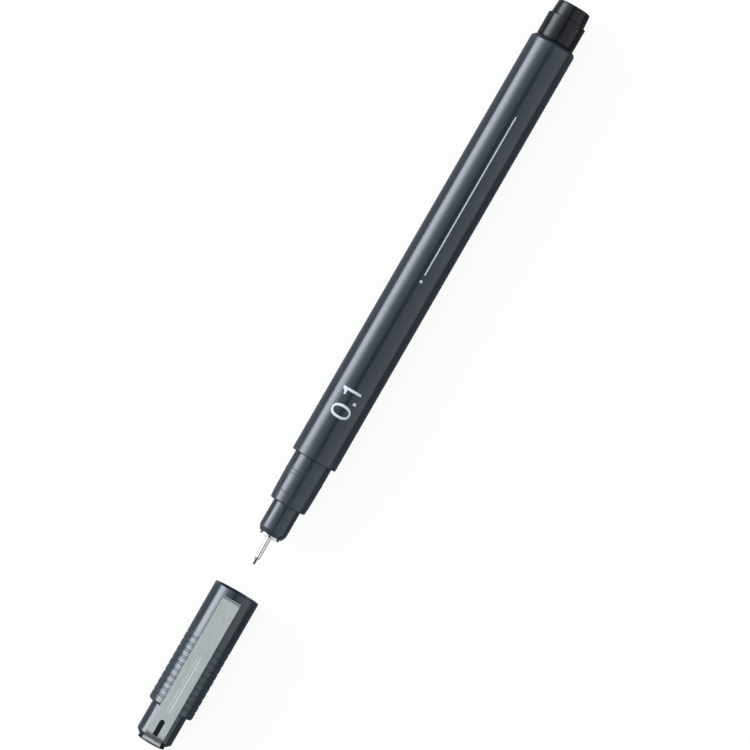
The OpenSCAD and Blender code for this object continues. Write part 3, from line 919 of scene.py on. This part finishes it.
# Distance from the cap's mouth and height above the cap's axis
clip_corners = [
    (1.47, 5.05),
    (1.66, 4.985),
    (2.13, FLAT_Z),
    (31.86, FLAT_Z),
    (33.05, LEDGE_Z),
    (TAB_U, LEDGE_Z),
    (TAB_U, 2.02),
]
LONGEST = 0.22
clip_path, _ = soften(clip_corners, [0, 0.1, 0.85, 1.8, 0.16, 0.19, 0], closed=False, steps=9)
clip_path, _ = divide(clip_path, np.zeros(len(clip_path)), LONGEST, closed=False)
path_len = np.append(0, np.cumsum(np.linalg.norm(np.diff(clip_path, axis=0), axis=1)))
print(f"clip: strip {path_len[-1]:.2f} mm long with {len(clip_path)} stations")

# %% [markdown]
# A slot is punched through the strip next to the slope, so the grid has a hole. The part of the
# strip round the slot is a ring of its own: its outer rim is the rectangle that is left out of the
# plain grid, its inner rim is the slot's outline, and the rings between them are blends of the two.
# A shallow channel is pressed into the flat: the surface goes down by d between soft walls, and the
# channel narrows to a point at both ends.

# %% Middle surface of the clip
SLOT_W = 1.06
SLOT_FROM, SLOT_TO = 28.5, 31.95
HOLE_BEFORE, HOLE_AFTER = 0.45, 0.12
SLOT_CORNER = 0.08
SLOT_BEVEL = 0.06
SLOT_OVER = 1.16
CHANNEL_FROM, CHANNEL_TO = 13.855, 27.355
CHANNEL_HALF = 0.325
CHANNEL_DEPTH = 0.018
CHANNEL_TAPER = 1.1
CHANNEL_WALL = 0.11
half_across = np.array([
    0, 0.07, 0.14, 0.19, 0.23, 0.26, 0.29, 0.32, 0.36,
    0.41, 0.5, 0.66, 0.86, 1.06, 1.26, 1.46, 1.64, 1.78,
])
across = np.append(half_across, FREE_W / 2) / (FREE_W / 2)
across = np.append(-across[:0:-1], across)
hole_u = [SLOT_FROM - HOLE_BEFORE, SLOT_TO + HOLE_AFTER]
hole_s = np.interp(hole_u, clip_path[:, 0], path_len)
stations = path_len[(path_len < hole_s[0] - 0.05) | (path_len > hole_s[1] + 0.05)]


def half_width(s):
    """Half the strip's width at the length s: it narrows evenly from the root to the free end."""
    return 0.5 * (FREE_W + (ROOT_W - FREE_W) * s / path_len[-1])


def on_path(s, y):
    """Places the strip's flat coordinates in space, and sinks them by the channel's depth.

    With w from 0 to 1 over the channel's soft wall, the surface goes down by depth * (3 w^2 - 2 w^3).
    """
    u = np.interp(s, path_len, clip_path[:, 0])
    h = np.interp(s, path_len, clip_path[:, 1])
    taper = np.clip(np.minimum(u - CHANNEL_FROM, CHANNEL_TO - u) / CHANNEL_TAPER, 0, 1)
    wall = np.clip((CHANNEL_HALF * np.sqrt(taper) + 0.05 - np.abs(y)) / CHANNEL_WALL, 0, 1)
    down = CHANNEL_DEPTH * wall * wall * (3 - 2 * wall) * np.minimum(1, 2 * taper)
    return np.stack([MOUTH_X - u, y, AXIS_Z + h - down], -1)


def strip_grid(lengths):
    """Points and faces of a plain stretch of the strip."""
    s = np.repeat(lengths[:, None], len(across), axis=1)
    index = np.arange(s.size).reshape(s.shape)
    quads = [index[:-1, :-1], index[:-1, 1:], index[1:, 1:], index[1:, :-1]]
    faces = np.stack(quads, -1).reshape(-1, 4)
    return on_path(s, across * half_width(s)).reshape(-1, 3), faces


def slot_ring(start, end, side_steps=26, rings=9):
    """The stretch with the slot, as rings between the rectangle and the slot's outline."""
    tall = np.linspace(start, end, side_steps)[1:-1]
    count = len(across)
    outer_s = np.concatenate([np.full(count, start), tall, np.full(count, end), tall[::-1]])
    outer_y = np.concatenate([across, np.ones(len(tall)), across[::-1], -np.ones(len(tall))])
    outer_y = outer_y * half_width(outer_s)
    slot_start, slot_end = np.interp([SLOT_FROM, SLOT_TO], clip_path[:, 0], path_len)
    r = SLOT_W / 2
    turn_angle = np.linspace(-np.pi / 2, np.pi / 2, count)
    side = np.linspace(slot_start + r, slot_end - SLOT_CORNER, len(tall))
    sweep = np.linspace(SLOT_OVER, -SLOT_OVER, count)
    flat = np.clip(sweep, -1, 1) * (r - SLOT_BEVEL)
    round_off = np.clip((np.abs(sweep) - 1) / (SLOT_OVER - 1), 0, 1)
    half_round = slot_start + r - r * np.cos(turn_angle)
    square_end = slot_end - SLOT_CORNER * round_off
    inner_s = np.concatenate([half_round, side, square_end, side[::-1]])
    square_y = flat + np.sign(flat) * SLOT_BEVEL * round_off
    straight = np.full(len(side), r)
    inner_y = np.concatenate([r * np.sin(turn_angle), straight, square_y, -straight])
    share = np.linspace(0, 1, rings)[:, None]
    s = outer_s + (inner_s - outer_s) * share
    y = outer_y + (inner_y - outer_y) * share
    index = np.arange(s.size).reshape(s.shape)
    side_index = np.roll(index, -1, 1)
    faces = np.stack([index[:-1], side_index[:-1], side_index[1:], index[1:]], -1).reshape(-1, 4)
    return on_path(s, y).reshape(-1, 3), faces


first_points, first_faces = strip_grid(np.append(stations[stations < hole_s[0]], hole_s[0]))
ring_points, ring_faces = slot_ring(hole_s[0], hole_s[1])
last_points, last_faces = strip_grid(np.append(hole_s[1], stations[stations > hole_s[1]]))
blocks = [first_points, ring_points, last_points]
offsets = np.cumsum([0, len(first_points), len(ring_points)])
clip_points = np.vstack(blocks)
clip_faces = np.vstack([f + o for f, o in zip([first_faces, ring_faces, last_faces], offsets)])
print("clip middle surface:", clip_points.shape, clip_faces.shape)

# %% [markdown]
# The three blocks share the points on their seams, which are merged. On the real pen the steel
# bends over the length of its root when a pocket's edge lifts the clip.

# %% Clip from the middle surface
clip = make_piece("clip_strip", clip_points, clip_faces.tolist(), normals=False)
work = bmesh.new()
work.from_mesh(clip.data)
bmesh.ops.remove_doubles(work, verts=work.verts, dist=0.002 * MM)
bmesh.ops.recalc_face_normals(work, faces=work.faces)
for face in work.faces:
    face.smooth = True
if sum(face.normal.z * face.calc_area() for face in work.faces) < 0:
    bmesh.ops.reverse_faces(work, faces=work.faces)
work.to_mesh(clip.data)
work.free()
thick = clip.modifiers.new("thickness", "SOLIDIFY")
thick.thickness = CLIP_T * MM
thick.offset = 0.0
thick.use_even_offset = False
rounded = clip.modifiers.new("edges", "BEVEL")
rounded.width = 0.004 * MM
rounded.segments = 3
rounded.limit_method = "ANGLE"
rounded.angle_limit = np.radians(60)
rounded.use_clamp_overlap = False
rounded.harden_normals = True
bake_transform(clip)
dress(clip, None, "clip_steel", clip_steel, "pocket_clip")

# %% [markdown]
# ## Print on the barrel
#
# The line width, 0.1, and a plain rule with a dot in front of it are printed on the barrel in a
# pale ink. Each mark is a thin skin: its flat shape takes two numbers, is bent round the barrel so
# that the distance y across becomes the angle y / r, and stands a hundredth of a millimetre proud.
# The nought is a band between two ovals, the one is a stem with a curved flag.

# %% Print helpers
INK_T = 0.012
INK_SUNK = 0.01
INK_R = BARREL_R + INK_T


def wrapped(name, x, y, closed=False):
    """A grid of flat places as a closed thin skin, bent to (x, r sin(y / r), r cos(y / r)).

    closed says that the grid's columns run round in a ring, so that the skin has walls only at its
    outer and inner rims.
    """
    index = np.arange(x.size).reshape(x.shape)
    count = x.size
    radius = np.array([INK_R, BARREL_R - INK_SUNK])[:, None]
    flat_x, turn = np.tile(x.ravel(), (2, 1)), np.tile(y.ravel(), (2, 1)) / INK_R
    points = np.stack([flat_x, radius * np.sin(turn), AXIS_Z + radius * np.cos(turn)], -1)
    points = points.reshape(-1, 3)
    beside = np.roll(index, -1, 1) if closed else index[:, 1:]
    here = index if closed else index[:, :-1]
    faces = np.stack([here[:-1], beside[:-1], beside[1:], here[1:]], -1).reshape(-1, 4)
    rims = [np.stack([here[0], beside[0]], -1), np.stack([beside[-1], here[-1]], -1)]
    if not closed:
        rims.append(np.stack([index[:-1, -1], index[1:, -1]], -1))
        rims.append(np.stack([index[1:, 0], index[:-1, 0]], -1))
    rim = np.vstack(rims)
    walls = np.hstack([rim, rim[:, ::-1] + count])
    everything = np.vstack([faces, faces[:, ::-1] + count, walls[:, ::-1]])
    mesh = bpy.data.meshes.new(name)
    mesh.from_pydata((points * MM).tolist(), [], everything.tolist())
    work = bmesh.new()
    work.from_mesh(mesh)
    bmesh.ops.remove_doubles(work, verts=work.verts, dist=0.0005 * MM)
    bmesh.ops.delete(work, geom=[e for e in work.edges if not e.link_faces], context="EDGES")
    bmesh.ops.recalc_face_normals(work, faces=work.faces)
    work.to_mesh(mesh)
    work.free()
    piece = bpy.data.objects.new(name, mesh)
    bpy.context.scene.collection.objects.link(piece)
    return piece


def pad_ink(name, colour):
    """Printing ink: an even pale coat, a little mottled and rougher than the plastic under it."""
    material, tree, shader = start_material(name)
    mottle = object_noise(tree, 1400, detail=3.0)
    body = ramp(tree, mottle, [(0.3, tone(colour, 0.93)[:3]), (0.7, tone(colour, 1.04)[:3])])
    tree.links.new(body, shader.inputs["Base Color"])
    spread = ramp(tree, object_noise(tree, 2600), [(0.2, 0.62), (0.8, 0.76)])
    tree.links.new(spread, shader.inputs["Roughness"])
    add_bump(tree, shader, object_noise(tree, 7000), 0.2, 0.003 * MM)
    return material


ink = pad_ink("pale_ink", (0.53, 0.58, 0.605))
print("ink ready")

# %% Digits, rule and dot
BASE_Y, TOP_Y = -1.87, 2.20
OVAL_POWER = 0.86
OVER_HEIGHT = 0.03
RULE_Y = -0.765
RULE_HALF = 0.13
DOT_X = 21.47
DOT_R = 0.30


def nought(x_mid, half_w, side, end):
    """A band between two ovals: x = half width * cos(a)^p, y = half height * sin(a)^p, p = 0.86."""
    a = np.arange(96)[None, :] * 2 * np.pi / 96
    share = np.linspace(0, 1, 5)[:, None]
    x_half = half_w - side * share
    y_half = (TOP_Y - BASE_Y) / 2 + OVER_HEIGHT - end * share
    x = x_mid + x_half * np.sign(np.cos(a)) * np.abs(np.cos(a)) ** OVAL_POWER
    y = (TOP_Y + BASE_Y) / 2 + y_half * np.sign(np.sin(a)) * np.abs(np.sin(a)) ** OVAL_POWER
    return wrapped("print_nought", x, y, closed=True)


def block(name, x_from, x_to, low, high, steps=24):
    """A patch between two curves over x. low and high are numbers or arrays of steps values."""
    x = np.repeat(np.linspace(x_from, x_to, steps)[:, None], 12, axis=1)
    low, high = np.broadcast_to(low, steps)[:, None], np.broadcast_to(high, steps)[:, None]
    return wrapped(name, x, low + (high - low) * np.linspace(0, 1, 12))


flag_share = np.linspace(0, 1, 24)
marks = [
    nought(-8.29, 1.42, 0.52, 0.40),
    block("print_point", -6.17, -5.56, BASE_Y, BASE_Y + 0.62),
    block("print_stem", -4.01, -3.49, BASE_Y, TOP_Y),
    block("print_flag", -5.00, -4.01, 1.12, 1.48 + 0.62 * flag_share**2.6),
    block("print_rule", 22.9, 58.6, RULE_Y - RULE_HALF, RULE_Y + RULE_HALF, 48),
]
spin = np.arange(32)[None, :] * 2 * np.pi / 32
reach = np.array([0, 1 / 3, 2 / 3, 1])[:, None] * DOT_R
dot_x, dot_y = DOT_X + reach * np.cos(spin), RULE_Y + reach * np.sin(spin)
marks.append(wrapped("print_dot", dot_x, dot_y, closed=True))
for mark in marks:
    mark.data.materials.append(ink)
    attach(mark, "pen")
print("print:", [mark.name for mark in marks])

# %% [markdown]
# ## Parts inside
#
# The wick, the ink store and its film are inside the barrel. Their CAD shapes are right as they
# are, plain round rods and a sleeve, so they stay and only get their materials.

# %% Materials of the hidden parts
film, tree, shader = start_material("clear_film")
haze = object_noise(tree, 500)
body = ramp(tree, haze, [(0.3, (0.55, 0.60, 0.65)), (0.7, (0.62, 0.67, 0.72))])
tree.links.new(body, shader.inputs["Base Color"])
spread = ramp(tree, object_noise(tree, 1500), [(0.2, 0.15), (0.8, 0.28)])
tree.links.new(spread, shader.inputs["Roughness"])
add_bump(tree, shader, object_noise(tree, 900, stretch=(0.3, 1, 1)), 0.3, 0.01 * MM)
for node, material in (("relay_wick", wick_rod), ("ink_reservoir", inked_rod), ("reservoir_film", film)):
    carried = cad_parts[node]
    carried.data.materials.clear()
    carried.data.materials.append(material)
    print(f"{node}: {material.name}")
